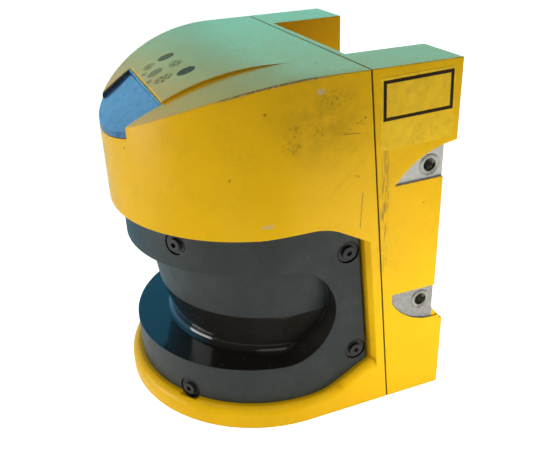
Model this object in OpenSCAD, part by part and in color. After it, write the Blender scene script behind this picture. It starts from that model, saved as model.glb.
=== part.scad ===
// Safety laser scanner: two cast housings, a black scanning screen and the rotating mirror behind it.
// The nose points to -Y, the mounting threads are on the +X and -X cheeks, the base lies at Z = 0.

/* [Housing] */
// Width across the two side walls
body_w = 155; // [125:1:190]
// Depth from the nose to the back
body_d = 156; // [150:1:190]
// Height from the base to the top
body_h = 185; // [180:1:225]
// Thickness of the cast walls
wall = 4; // [3:0.5:5]
// Thickness of the front housing's floor
floor_t = 5; // [4:0.5:7]
// Place of the parting joint along Y at the top edge
seam_top = 30.5; // [28:0.5:33]
// Place of the parting joint along Y at the base
seam_base = 46; // [43:0.5:49]
// Thickness of the gasket in the parting joint
seam_gap = 0.8; // [0.6:0.1:1.2]

/* [Hood] */
// Radius of the slope over the nose
slope_r = 136; // [125:1:150]
// Where the slope over the nose starts along Y
slope_y = 6; // [0:1:12]
// Radius of the raised panel's slope
panel_r = 111.6; // [105:0.2:120]
// Where the raised panel's slope starts along Y
panel_y = -2; // [-4:0.5:0]
// Half width of the raised panel at its rear end
panel_rear_x = 50.5; // [44:0.5:54]
// Half width of the raised panel at the indicator window
panel_front_x = 37.4; // [32:0.2:42]
// Where the raised panel ends and the indicator window starts along Y
window_y = -54; // [-57:1:-51]
// Angle of the indicator window below level
window_slope = 31.5; // [28:0.5:35]
// Drop of the indicator window's rear edge below the top
window_drop = 15.6; // [15:0.2:17]
// Thickness of the indicator window
window_t = 2.8; // [2:0.2:3.4]
// Half width of the indicator window at its front corners
window_front_x = 31.8; // [28:0.2:34]
// Thickness of the raised rim round the indicator window
window_rim = 0.8; // [0.6:0.1:1.2]
// Radius of the curved lower edge of the window's front lip
lip_r = 135; // [120:5:150]
// Height of the indicator window's front lip above the top of the recess
lip_rise = 40.5; // [38:0.5:44]

/* [Screen] */
// Height of the recess's upper edge
recess_top = 111.5; // [106:0.5:114]
// Height of the recess's lower edge at the nose
recess_base = 11; // [10:0.5:13]
// Angle of the recess's raked upper and lower edges
recess_rake = 29; // [24:1:34]
// Radius that leads into the raked edges
recess_r = 33; // [28:1:38]
// How far the screen lies inside the housing's wall
screen_inset = 6.2; // [5:0.2:7]
// Wall thickness of the screen
screen_t = 3; // [2.4:0.2:3.6]
// Gap between the screen's rim and the recess
screen_gap = 0.4; // [0.3:0.1:0.6]
// Gap between the screen's rear edge and the recess
rear_gap = 1.5; // [1:0.1:2]
// Thickness of the gasket behind the screen's rim
gasket_t = 1; // [0.8:0.1:1.4]
// Height of the groove's upper edge
groove_top = 89.4; // [87:0.2:92]
// Height of the shelf under the groove
shelf_z = 33; // [31:0.5:35]
// Rearmost point of the groove's rounded ends along Y
groove_end = 17.5; // [14:0.5:19]
// Centre of the cone inside the groove along Y
core_y = 6; // [4:0.5:8]
// How far the cone's upper edge lies inside the screen's sides
step_in = 4.3; // [3.5:0.1:5]
// How far the cone leans in from its upper edge to its lower edge
cone_in = 4.5; // [3:0.5:6]
// Height of the cone's lower edge
cone_base = 57.5; // [55:0.5:60]
// How far the wall under the cone leans in down to the shelf
throat_in = 7; // [5:0.5:9]
// Radius between that wall and the shelf
throat_round = 4; // [3:0.5:5]

/* [Screen screws] */
// Radius of the counterbores in the screen
cbore_r = 6; // [5.5:0.1:6.5]
// Depth of the counterbores in the screen
cbore_depth = 1.6; // [1.2:0.1:1.8]
// Radius of the screw shanks
screw_r = 2; // [1.5:0.1:2.4]
// Radius of the screw heads
head_r = 3.4; // [3:0.1:3.8]
// Size across the flats of the hex sockets
hex_af = 2.5; // [2:0.1:3]
// Angle of the nose screws from the nose's middle
nose_screw_a = 38.4; // [34:0.2:42]

/* [Mounting] */
// Half width of the recess between the cheeks
bay_x = 45.25; // [40:0.25:48]
// Height of the bay's floor
bay_z = 90; // [84:1:96]
// Place of the side threads along Y, from the back
thread_back = 13.8; // [12:0.2:14.4]
// Height of the lower side threads
thread_z = 58; // [54:0.2:62]
// Distance between the two threads of one side
thread_pitch = 76.4; // [70:0.2:80]
// Radius of the M8 thread's bore
thread_r = 3.4; // [3:0.1:3.6]
// Outer radius of the threaded inserts
insert_r = 5.4; // [5:0.1:6]
// Length of the threaded inserts
insert_l = 14; // [10:1:18]
// Depth of the step in the cheeks' rear faces
notch_depth = 6.4; // [5:0.2:6.6]
// Depth of the milled flats round the threads
flat_depth = 1.2; // [0.8:0.1:1.6]

/* [Optics] */
// Height of the scanning plane
scan_z = 70; // [68:0.5:72]
// Radius of the mirror's holder
rotor_r = 26; // [22:0.5:30]
// Radius of the motor's shaft
shaft_r = 3; // [2.5:0.1:4]
// Running clearance of the shaft in its bearings
shaft_gap = 0.05; // [0.02:0.01:0.09]
// Radius of the receiver's lens
lens_r = 20; // [17:0.5:20]
// Radius of the motor's housing
motor_r = 20; // [18:0.5:23]

/* [Hidden] */
$fn = 96;

paint = "gold";
black = "dimgray";
steel = "silver";

side_x = body_w / 2;
back_y = body_d / 2;
nose_y = side_x - back_y;          // axis of the round nose, also the scanning axis
eps = 0.02;
far = 400;                         // longer than anything that is cut

screen_r = side_x - screen_inset;
seat_r = screen_r - screen_t - gasket_t;
gasket_gap = 0.2;                  // air left on each side of the screen's gasket
seat_wall = 4;                     // thickness of the wall that carries the screen
rim_w = 13;                        // width of the rim that carries the screen
lobe_reach = 2.6;                   // how far the lobes' pockets reach past the screen's face
land_w = 5;                        // strip of wall between the recess and the joint
draft_w = 1.8;                     // slope of the recess's rear wall across its depth
ledge_round = 5.5;                 // rounding of the base flange
ledge_lift = 0.15;                 // the rounding meets the ledge at a slight angle
foot_lift = 0.1;                   // so does the rounding at the foot of the groove's wall
sensor_in = 20;                    // how far the dirt sensors lie inside the screen's face

groove_r = (groove_top - shelf_z) / 2;
groove_z = (groove_top + shelf_z) / 2;
cone_r = screen_r - step_in - cone_in;              // radius at the cone's lower edge
cone_rake = cone_in / (groove_top - cone_base);

lead_y = 1.5;                      // where the recess's level edges end and the arcs begin
lean = (seam_top - seam_base) / body_h;
raked_l = 30;                      // more than half the length of the raked lower edge

bay_wall = 3.3;                    // wall between the bay and the joint
notch_top = 144;
notch_base = 47;
thread_y = back_y - thread_back;
thread_zs = [thread_z, thread_z + thread_pitch];

// Place of the parting joint along Y at a height
function seam(z) = seam_base + (seam_top - seam_base) * z / body_h;
// Top face of the indicator window along Y
function window_z(y) = body_h - window_drop + (y - window_y) * tan(window_slope);
// Half width of the window along Y
corner_y = nose_y - sqrt(side_x * side_x - window_front_x * window_front_x);
function window_x(y) = panel_front_x
    + (y - window_y) * (panel_front_x - window_front_x) / (window_y - corner_y);

// ---------- helpers ----------

// Extrudes an outline drawn as (Y, Z) across the body
module across(length = far) {
    rotate([90, 0, 90]) translate([0, 0, -length / 2]) linear_extrude(length) children();
}

// A block whose plan is round at the nose and straight behind it
module nose_block(r, z0, z1, rear = back_y) {
    translate([0, 0, z0]) linear_extrude(z1 - z0) {
        translate([0, nose_y]) circle(r);
        translate([-r, nose_y]) square([2 * r, rear - nose_y]);
    }
}

// Outline under a level top that falls as an arc of radius r in front of y
module crown_outline(r, y, inset, base) {
    translate([y, body_h - r]) circle(r - inset, $fn = 180);
    translate([y, base]) square([back_y - y, body_h - inset - base]);
    translate([y - r + inset, base]) square([r, body_h - r - base]);
}

// Everything between two planes that run along the parting joint
module joint_slab(from, to) {
    across() polygon([[seam(-10) + from, -10], [seam(-10) + to, -10],
        [seam(body_h + 10) + to, body_h + 10], [seam(body_h + 10) + from, body_h + 10]]);
}

// Raised panel's plan, grown by e
module panel_plan(e = 0) {
    rear = slope_y + 10;
    polygon([[-panel_rear_x - e, rear], [panel_rear_x + e, rear],
        [panel_front_x + e, window_y], [-panel_front_x - e, window_y]]);
}

// Outer form of both housings, with all its walls moved in by inset
module body_form(inset = 0, base = 0) {
    intersection() {
        nose_block(side_x - inset, base, body_h, back_y - inset);
        union() {
            across() crown_outline(slope_r, slope_y, inset, base);
            intersection() {
                across() crown_outline(panel_r, panel_y, inset, base);
                translate([0, 0, base]) linear_extrude(body_h) panel_plan(-inset);
            }
        }
    }
}

// Side outline of the recess for the screen; each edge can be grown by itself
module recess_outline(top = 0, rear = 0, base = 0) {
    s = sin(recess_rake);
    c = cos(recess_rake);
    steps = [0 : recess_rake / 10 : recess_rake + eps];
    ztop = recess_top + top;
    zbase = recess_base - base;
    rt = recess_r + top;
    rb = recess_r + base;
    rake = s / c;
    yt = lead_y + rt * s;
    zt = ztop - rt * (1 - c);
    yb = lead_y + rb * s;
    zb = zbase + rb * (1 - c);
    r0 = seam_base - land_w - draft_w + rear;
    ut = (zt + yt * rake - r0 * rake) / (1 + lean * rake);
    ub = (zb - yb * rake + r0 * rake) / (1 - lean * rake);
    polygon(concat(
        [[-far / 2, zbase]],
        [for (a = steps) [lead_y + rb * sin(a), zbase + rb * (1 - cos(a))]],
        [[r0 + lean * ub, ub], [r0 + lean * ut, ut]],
        [for (a = steps) let (b = recess_rake - a) [lead_y + rt * sin(b), ztop - rt * (1 - cos(b))]],
        [[-far / 2, ztop]]));
}

// The recess that the screen lies in, with its draughted rear walls
module recess() {
    difference() {
        union() {
            across() recess_outline();
            for (side = [0, 1]) mirror([side, 0, 0]) hull() {
                translate([side_x - 3, 0, 0]) across(1) recess_outline(-0.3, -0.3, -0.3);
                translate([side_x + 1, 0, 0]) across(2) recess_outline(0.8, draft_w, 0.1);
            }
        }
        nose_block(seat_r, -10, body_h);
    }
}

// Rounds the base flange's upper edge, round the nose and up along the raked edge
module ledge_profile(z = recess_base) {
    translate([side_x - ledge_round, z - ledge_round + ledge_lift]) difference() {
        square(ledge_round + 1);
        circle(ledge_round);
    }
}
module ledge_cut() {
    translate([0, nose_y, 0]) rotate([0, 0, 180]) rotate_extrude(angle = 180) ledge_profile();
    for (side = [0, 1]) mirror([side, 0, 0]) {
        translate([0, lead_y, 0]) rotate([90, 0, 0])
            linear_extrude(lead_y - nose_y) ledge_profile();
        translate([0, lead_y, recess_base + recess_r]) {
            // the arc that leads into the raked edge
            rotate([0, 90, 0]) rotate_extrude(angle = recess_rake)
                rotate([0, 0, 90]) ledge_profile(-recess_r);
        }
        intersection() {
            translate([0, lead_y, recess_base + recess_r]) rotate([recess_rake, 0, 0])
                translate([0, 2 * raked_l, -recess_base - recess_r])
                rotate([90, 0, 0]) linear_extrude(2 * raked_l) ledge_profile();
            joint_slab(-far, -land_w - 0.4);
        }
    }
}

// The groove's free space; t moves every wall of it into the material
module groove(t = 0) {
    tc = t / cos(atan(cone_rake));
    intersection() {
        across() union() {
            translate([groove_end - groove_r, groove_z]) circle(groove_r + t);
            translate([-far / 2, groove_z - groove_r - t])
                square([far / 2 + groove_end - groove_r, 2 * (groove_r + t)]);
        }
        difference() {
            nose_block(far / 4, -10, body_h);
            core(tc);
        }
    }
}
// The screen's core, turned about its own axis: the cone, the wall under it and that wall's foot
module core(t) {
    above = 12;
    below = 12;
    slant = throat_in / (cone_base - shelf_z);
    foot = throat_round - foot_lift;
    foot_z = shelf_z + foot;
    foot_r = cone_r - (cone_base - foot_z) * slant + foot * sqrt(1 + slant * slant);
    foot_out = throat_round + t;
    translate([0, core_y, 0]) rotate_extrude() {
        polygon([[0, shelf_z - below], [cone_r - t - throat_in - below * slant, shelf_z - below],
            [cone_r - t, cone_base], [cone_r - t + (groove_top + above - cone_base) * cone_rake,
            groove_top + above], [0, groove_top + above]]);
        difference() {
            polygon([[foot_r, foot_z], [foot_r, foot_z - foot_out - 1],
                [foot_r - foot_out - 4, foot_z - foot_out - 1],
                [foot_r - foot_out - 4, foot_z + foot_out * slant]]);
            translate([foot_r, foot_z]) circle(foot_out);
        }
    }
}

// Places something at each screen screw, with +Z pointing out of the screen
flat_screws = [[23.9, 93], [28.9, 33]];            // on each side, as (Y, Z)
nose_screws = [102.9, 15];                         // heights at the nose
module at_screen_screws() {
    for (side = [0, 1]) mirror([side, 0, 0]) {
        for (p = flat_screws) translate([screen_r, p[0], p[1]]) rotate([0, 90, 0]) children();
        for (z = nose_screws) translate([0, nose_y, z]) rotate([0, 0, nose_screw_a - 90])
            translate([screen_r, 0, 0]) rotate([0, 90, 0]) children();
    }
}
// The screen's lobes round its lower nose screws, grown by e
module nose_lobes(e = 0) {
    for (side = [0, 1]) mirror([side, 0, 0]) translate([0, nose_y, nose_screws[1]])
        rotate([0, 0, nose_screw_a - 90]) translate([seat_r - 10, 0, 0]) rotate([0, 90, 0])
            cylinder(h = 30, r = cbore_r + 0.6 + e);
}

// Indicator window's plan, grown by e
module window_plan(e = 0) {
    front = -back_y - 10;
    rear = window_y + e;
    polygon([[-window_x(rear) - e, rear], [window_x(rear) + e, rear],
        [window_x(front) + e, front], [-window_x(front) - e, front]]);
}
// Everything above the indicator window's face moved down by d
module above_window(d) {
    front = -back_y - 10;
    across() polygon([[back_y, window_z(back_y) - d], [front, window_z(front) - d],
        [front, body_h + 90], [back_y, body_h + 90]]);
}
lip_z = recess_top + lip_rise;
window_seat = 4;                   // thickness of the seat under the indicator window
rim_rise = 1.6;                    // height of the rim above the window's face
board_t = 1.6;                     // thickness of every circuit board

// Housing screws join the two castings from the back; +Z points out of the back
house_x = side_x - 9.5;
house_zs = [body_h - 16, 12];
head_h = 5;
head_sink = 6;                                      // how deep the heads' seats lie in the back
house_hold = 9;                                     // length of thread in the front housing
module at_house_screws() {
    for (side = [0, 1]) mirror([side, 0, 0]) for (z = house_zs)
        translate([house_x, back_y - head_sink, z]) rotate([-90, 0, 0]) children();
}
// A round bar in each screw's place, from past the thread's end to over the joint or the seat
module house_bars(r, past, over = 0) {
    for (side = [0, 1]) mirror([side, 0, 0]) for (z = house_zs)
        translate([house_x, seam(z) - house_hold - past, z]) rotate([-90, 0, 0])
            cylinder(h = over > 0 ? house_hold + past + over
                : back_y - head_sink - seam(z) + house_hold + past + eps, r = r);
}

// ---------- castings ----------

module front_housing() color(paint) difference() {
    intersection() {
        body_form();
        joint_slab(-far, -seam_gap / 2);
    }
    recess();
    ledge_cut();
    intersection() {
        nose_lobes(0.3);
        nose_block(screen_r + lobe_reach, 0, body_h);
    }
    difference() {
        body_form(wall, floor_t);
        difference() {
            across() recess_outline(6, 6, 6);
            nose_block(seat_r - seat_wall, -10, body_h);
        }
        intersection() {
            translate([0, 0, lip_z - 6]) linear_extrude(far / 4) window_plan(4);
            above_window(window_t + window_seat);
        }
        house_bars(6, 3, 10);
        screw_pads();
        at_sensors() translate([0, 0, -sensor_z]) cylinder(h = sensor_z, r = 4);
    }
    // opening behind the screen
    across() recess_outline(-rim_w, -rim_w, -rim_w);
    // pocket for the indicator window and the light opening under it
    window_cut(0.25, window_t + 0.25);
    intersection() {
        linear_extrude(far) window_plan(-4);
        above_window(window_t + 10);
        nose_block(side_x - wall - 4, lip_z - 2, body_h);
    }
    house_bars(2.5, 1, 10);
    at_screen_screws() cylinder(h = 26, r = screw_r, center = true);
}
// Pads behind the screen's screws, part of the seat
module screw_pads() {
    at_screen_screws() translate([0, 0, -screen_t - gasket_t - 8]) cylinder(h = 8, r = 5);
}
module window_cut(e, d) {
    intersection() {
        linear_extrude(far) window_plan(e);
        union() {
            above_window(d);
            difference() {
                translate([0, 0, lip_z + lip_r]) rotate([90, 0, 0])
                    cylinder(h = far / 2, r = lip_r + e);
                nose_block(side_x - wall + 1 - e, -10, body_h + 10);
            }
        }
    }
}

module rear_housing() color(paint) difference() {
    intersection() {
        body_form();
        joint_slab(seam_gap / 2, far);
    }
    bay();
    cheek_steps();
    milled_flats();
    difference() {
        intersection() {
            nose_block(side_x - wall, wall, body_h - wall, back_y - wall);
            joint_slab(-far, far);
        }
        bay(bay_wall - seam_gap / 2, wall, wall);
        step_backing();
        thread_bosses();
        house_bars(7, 0);
        at_house_screws() translate([0, 0, -4]) cylinder(h = 20, r = 7);
        for (side = [0, 1]) mirror([side, 0, 0]) for (p = power_pads) translate([p[0], p[1], 0])
            cylinder(h = power_z, r = 4);
    }
    at_house_screws() cylinder(h = 20, r = 4.5);
    house_bars(2.75, 0);
    at_threads() cylinder(h = 2 * insert_l, r = insert_r, center = true);
    at_sockets(1) linear_extrude(40, center = true) socket_outline(power_w, 0.3);
    at_sockets(-1) linear_extrude(40, center = true) socket_outline(data_w, 0.3);
    at_jack_posts() cylinder(h = 40, r = 1.5, center = true);
}
// The open bay between the cheeks, grown by its wall for the inside of the casting
module bay(front = 0, side = 0, below = 0) {
    intersection() {
        translate([-bay_x - side, 0, bay_z - below]) cube([2 * (bay_x + side), far, far]);
        joint_slab(bay_wall + seam_gap / 2 - front, far);
    }
}
module cheek_steps() {
    across() polygon([[back_y - notch_depth, notch_base + 4], [back_y - notch_depth, notch_top - 0.5],
        [back_y - notch_depth + 1, notch_top + 0.3], [back_y + 1, notch_top + 1.6],
        [back_y + 1, notch_base - 4], [back_y - 1, notch_base - 4]]);
}
// The material that stays behind the step, one wall thick
module step_backing() {
    translate([-far / 2, back_y - notch_depth - wall, notch_base - 4 - wall])
        cube([far, far, notch_top - notch_base + 6 + 2 * wall]);
}
module at_threads() {
    for (side = [0, 1]) mirror([side, 0, 0]) for (z = thread_zs)
        translate([side_x, thread_y, z]) rotate([0, 90, 0]) children();
}
module thread_bosses() {
    at_threads() translate([0, 0, -insert_l - 4]) cylinder(h = insert_l + 4, r = 9.5);
}
module milled_flats() {
    for (side = [0, 1]) mirror([side, 0, 0])
        translate([side_x - flat_depth, thread_y, 0]) rotate([90, 0, 90]) linear_extrude(10) {
            // upper flat: a pointed wedge that widens to the rear
            translate([0, thread_zs[1]]) intersection() {
                polygon([[-22, -7.4], [15, -6.8], [15, 14], [-22, 14]]);
                translate([16.5, -33.5]) circle(44.3);
            }
            // lower flat: level top, round underside
            translate([0, thread_zs[0]]) intersection() {
                polygon([[-17.8, 7.5], [15, 7.5], [15, -14], [-17.8, -14]]);
                translate([8.1, 17.4]) circle(30);
            }
        }
}

module housing_gasket() color(black) difference() {
    intersection() {
        body_form(0.5);
        joint_slab(-seam_gap / 2, seam_gap / 2);
    }
    intersection() {
        body_form(wall, floor_t);
        translate([-far / 2, -far / 2, floor_t]) cube([far, far, far]);
    }
    house_bars(2.75, 0);
}

// ---------- screen ----------

module front_screen() color(black) difference() {
    union() {
        intersection() {
            union() {
                across() recess_outline(-screen_gap, -rear_gap, -screen_gap);
                nose_lobes();
            }
            difference() {
                nose_block(screen_r, 0, body_h);
                nose_block(screen_r - screen_t, -1, body_h + 1);
            }
        }
        intersection() {
            groove(screen_t);
            nose_block(screen_r - 0.5, 0, body_h);
        }
    }
    groove();
    at_screen_screws() {
        translate([0, 0, -cbore_depth]) cylinder(h = 20, r = cbore_r);
        cylinder(h = 20, r = screw_r + 0.2, center = true);
    }
}

module screen_gasket() color(black) intersection() {
    difference() {
        across() recess_outline(-1, -1, -1);
        across() recess_outline(1 - rim_w, 1 - rim_w, 1 - rim_w);
        at_screen_screws() cylinder(h = 40, r = screw_r + 0.3, center = true);
    }
    difference() {
        nose_block(screen_r - screen_t - gasket_gap, 0, body_h);
        nose_block(seat_r + gasket_gap, -1, body_h + 1);
    }
}

module screen_screws() color(black) at_screen_screws() {
    difference() {
        translate([0, 0, 0.9 - cbore_depth]) cylinder(h = 2, r = head_r);
        translate([0, 0, 1.4 - cbore_depth]) cylinder(h = 4, r = hex_af / sqrt(3), $fn = 6);
    }
    translate([0, 0, -screen_t - gasket_t - 5]) cylinder(h = 5.5 + screen_t + gasket_t - cbore_depth
        + 0.6, r = screw_r);
}

module screen_washers() color(black) at_screen_screws() translate([0, 0, -cbore_depth])
    difference() {
        cylinder(h = 0.9, r = cbore_r - 0.6);
        translate([0, 0, -1]) cylinder(h = 4, r = screw_r + 0.2);
    }

// ---------- indicators ----------

module indicator_window() color("steelblue") difference() {
    intersection() {
        nose_block(side_x - 0.15, 0, body_h);
        window_cut(0, window_t);
    }
    intersection() {
        linear_extrude(far) window_plan(-window_rim);
        above_window(0);
    }
    above_window(-rim_rise);
}

// Places something in the indicator window's slanted frame, d below its face
module window_frame(d) {
    y = (window_y - back_y) / 2 + 2;
    translate([0, y, window_z(y)]) rotate([window_slope, 0, 0]) translate([0, 0, -d]) children();
}
module indicator_board() color("green") window_frame(window_t + window_seat + board_t)
    translate([-34, -6, 0]) cube([68, 12, board_t]);
module status_lamps() color("red") window_frame(window_t + window_seat) for (i = [-2 : 2])
    translate([i * 9, 0, 0]) {
        cylinder(h = window_seat - 2, r = 1.5);
        translate([0, 0, window_seat - 2]) sphere(r = 1.5);
    }

// ---------- fastening ----------

module thread_inserts() color(steel) at_threads() translate([0, 0, -insert_l])
    difference() {
        cylinder(h = insert_l - flat_depth + 0.2, r = insert_r);
        translate([0, 0, -1]) cylinder(h = insert_l + 2, r = thread_r);
    }

module housing_screws() color(steel) {
    at_house_screws() difference() {
        cylinder(h = head_h, r = 4.2);
        translate([0, 0, head_h / 2]) cylinder(h = head_h, r = 4 / sqrt(3), $fn = 6);
    }
    house_bars(2.5, 0);
}

// ---------- sockets in the bay ----------

power_w = 39;
data_w = 25;
socket_z = bay_z + 42;
// Places something at a socket, with +Z pointing out of the bay's wall
module at_sockets(side) {
    tilt = atan((seam_base - seam_top) / body_h);
    translate([side * 22, seam(socket_z) + bay_wall + seam_gap / 2, socket_z])
        rotate([-90 + tilt, 0, 0]) rotate([0, 0, 90]) children();
}
module socket_outline(w, e = 0) {
    polygon([[-w / 2 - e, 4.4 + e], [w / 2 + e, 4.4 + e],
        [w / 2 - 1.6 + e, -4.4 - e], [-w / 2 + 1.6 - e, -4.4 - e]]);
}
module socket(w) {
    difference() {
        union() {
            linear_extrude(1) square([w + 14, 12.5], center = true);
            translate([0, 0, -9]) linear_extrude(15) socket_outline(w);
        }
        translate([0, 0, 1.5]) linear_extrude(10) socket_outline(w, -0.8);
        for (s = [-1, 1]) translate([s * (w / 2 + 4), 0, -1]) cylinder(h = 4, r = 1.55);
    }
    for (row = [0, 1]) for (i = [0 : (w - 12) / 2.76 - row])
        translate([(i - ((w - 12) / 2.76 - row) / 2) * 2.76, row * 2.84 - 1.42, 1])
            cylinder(h = 4.2, r = 0.5, $fn = 16);
}
module power_socket() color(steel) at_sockets(1) socket(power_w);
module data_socket() color(steel) at_sockets(-1) socket(data_w);
module at_jack_posts() {
    for (s = [[1, power_w], [-1, data_w]]) for (e = [-1, 1])
        at_sockets(s[0]) translate([e * (s[1] / 2 + 4), 0, 1]) children();
}
module jack_posts() color(steel) at_jack_posts() {
    difference() {
        cylinder(h = 5, r = 2.9, $fn = 6);
        translate([0, 0, 1]) cylinder(h = 8, r = 1.3);
    }
    translate([0, 0, -6]) cylinder(h = 6 + eps, r = 1.45);
}

// ---------- boards ----------

board_x = 50;
board_y = 26.5;
module main_board() color("green") difference() {
    translate([-board_x, board_y, 104]) cube([2 * board_x, board_t, 60]);
    at_pillars() cylinder(h = 60, r = 1.6, center = true);
}
module at_pillars() {
    for (x = [-board_x + 5, board_x - 5]) for (z = [109, 159])
        translate([x, board_y + board_t, z]) rotate([-90, 0, 0]) children();
}
module board_pillars() color(steel) intersection() {
    at_pillars() {
        cylinder(h = 20, r = 3, $fn = 6);
        translate([0, 0, -board_t - 2]) cylinder(h = 10, r = 1.5);
    }
    joint_slab(-far, seam_gap / 2 - 0.02);
}
power_z = 12;
power_pads = [[53, 54], [53, 64]];
module power_board() color("green") translate([-58, 50, power_z]) cube([116, 18, board_t]);

// ---------- optics ----------

plate_z = recess_top + 6;          // the optics plate lies on the seat's upper ledge
plate_t = 3;
lens_z = plate_z + plate_t;
holder_h = 22;
barrel_r = lens_r + 3;
module at_axis(z) { translate([0, nose_y, z]) children(); }

module optics_plate() color(steel) difference() {
    intersection() {
        nose_block(side_x - wall - 0.5, plate_z, lens_z);
        translate([-far / 2, board_y - 1 - far, 0]) cube(far);
    }
    at_axis(0) cylinder(h = far, r = barrel_r + 0.2);
}
module lens_holder() color(black) difference() {
    at_axis(lens_z) cylinder(h = 2.5, r = barrel_r + 2.5);
    at_axis(0) cylinder(h = far, r = barrel_r + 0.05);
}
module lens_barrel() color(black) at_axis(lens_z - 9) difference() {
    cylinder(h = holder_h, r = barrel_r);
    translate([0, 0, -1]) cylinder(h = far, r = lens_r - 1.5);
    translate([0, 0, 3]) cylinder(h = far, r = lens_r);
}
module receiver_lens() color("lightblue") at_axis(lens_z - 6) difference() {
    intersection() {
        cylinder(h = 12, r = lens_r);
        translate([0, 0, -34]) sphere(r = 44);
    }
    translate([0, 0, -1]) cylinder(h = 20, r = laser_r);
}
laser_r = 6;
module laser_tube() color("goldenrod") at_axis(lens_z - 9) difference() {
    cylinder(h = 30, r = laser_r);
    translate([0, 0, -1]) cylinder(h = 20, r = laser_r - 2);
}
module receiver_board() color("green") at_axis(lens_z - 9 + holder_h) difference() {
    translate([-28, -28, 0]) cube([56, 50, board_t]);
    translate([0, 0, -1]) cylinder(h = 4, r = laser_r);
}

mirror_t = 3;
rotor_base = 42;                   // underside of the mirror's holder
disc_z = 38;
disc_r = 30;
bracket_z = 10;                    // underside of the motor's bracket
bracket_t = 2;
motor_z = bracket_z + bracket_t;
motor_h = 24;
bearing_h = 4;
bearing_r = 5.5;
module scan_mirror() color("white") at_axis(scan_z) intersection() {
    rotate([45, 0, 0]) translate([-20, -30, 0]) cube([40, 60, mirror_t]);
    translate([0, 0, -40]) cylinder(h = 80, r = rotor_r - 1);
}
module mirror_holder() color(black) at_axis(rotor_base) difference() {
    cylinder(h = scan_z - rotor_base + 22, r = rotor_r);
    translate([0, 0, scan_z - rotor_base]) rotate([45, 0, 0])
        translate([-far / 4, -far / 4, 0]) cube([far / 2, far / 2, far / 2]);
    translate([0, 0, -1]) cylinder(h = 11, r = shaft_r);
}
module motor_shaft() color(steel) at_axis(motor_z - 1)
    cylinder(h = rotor_base + 10 - motor_z + 1, r = shaft_r);
module motor_magnet() color("gray") at_axis(motor_z + 6) difference() {
    cylinder(h = 12, r = 9);
    translate([0, 0, -1]) cylinder(h = 20, r = shaft_r);
}
module stator() color("chocolate") at_axis(motor_z + 5) difference() {
    cylinder(h = 14, r = motor_r - 2);
    translate([0, 0, -1]) cylinder(h = 20, r = 10);
}
module motor_housing() color(steel) at_axis(motor_z) difference() {
    cylinder(h = motor_h, r = motor_r);
    translate([0, 0, 2]) cylinder(h = motor_h - bearing_h, r = motor_r - 2);
    translate([0, 0, -1]) cylinder(h = 40, r = bearing_r);
}
module motor_bearings() color(steel)
    for (z = [motor_z, motor_z + motor_h - bearing_h]) at_axis(z) difference() {
        cylinder(h = bearing_h, r = bearing_r);
        translate([0, 0, -1]) cylinder(h = 6, r = shaft_r + shaft_gap);
    }
module motor_bracket() color(steel) difference() {
    union() {
        at_axis(bracket_z) cylinder(h = bracket_t, r = 38);
        for (a = [45 : 90 : 315]) at_axis(floor_t) rotate([0, 0, a]) translate([31, 0, 0])
            cylinder(h = bracket_z - floor_t + 1, r = 3);
    }
    at_axis(0) cylinder(h = 20, r = 8);
}
module encoder_disc() color("gray") at_axis(disc_z) difference() {
    cylinder(h = 1, r = disc_r);
    translate([0, 0, -1]) cylinder(h = 4, r = shaft_r);
}
module encoder_sensor() color(black) at_axis(motor_z) difference() {
    translate([-6, disc_r - 2.5, 0]) cube([12, 9, disc_z - motor_z + 4]);
    translate([-7, 0, disc_z - motor_z - 1]) cube([14, disc_r + 1, 3]);
}
sensor_z = 22;
module at_sensors() {
    for (a = [-60, 0, 60]) at_axis(sensor_z) rotate([0, 0, a])
        translate([0, sensor_in - screen_r, 0])
        children();
}
module sensor_boards() color("green") at_sensors() {
    translate([-10, -5, 0]) cube([20, 10, board_t]);
    translate([0, 0, board_t]) cylinder(h = shelf_z - screen_t - sensor_z - board_t - 1, r = 2.5);
}

front_housing();
rear_housing();
housing_gasket();
front_screen();
screen_gasket();
screen_screws();
screen_washers();
indicator_window();
indicator_board();
status_lamps();
thread_inserts();
housing_screws();
power_socket();
data_socket();
jack_posts();
main_board();
board_pillars();
power_board();
receiver_board();
receiver_lens();
optics_plate();
lens_holder();
lens_barrel();
laser_tube();
scan_mirror();
mirror_holder();
motor_shaft();
motor_magnet();
motor_bearings();
motor_housing();
stator();
motor_bracket();
encoder_disc();
encoder_sensor();
sensor_boards();
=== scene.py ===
import bpy
import bmesh
import math
from mathutils import Matrix, Vector


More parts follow.
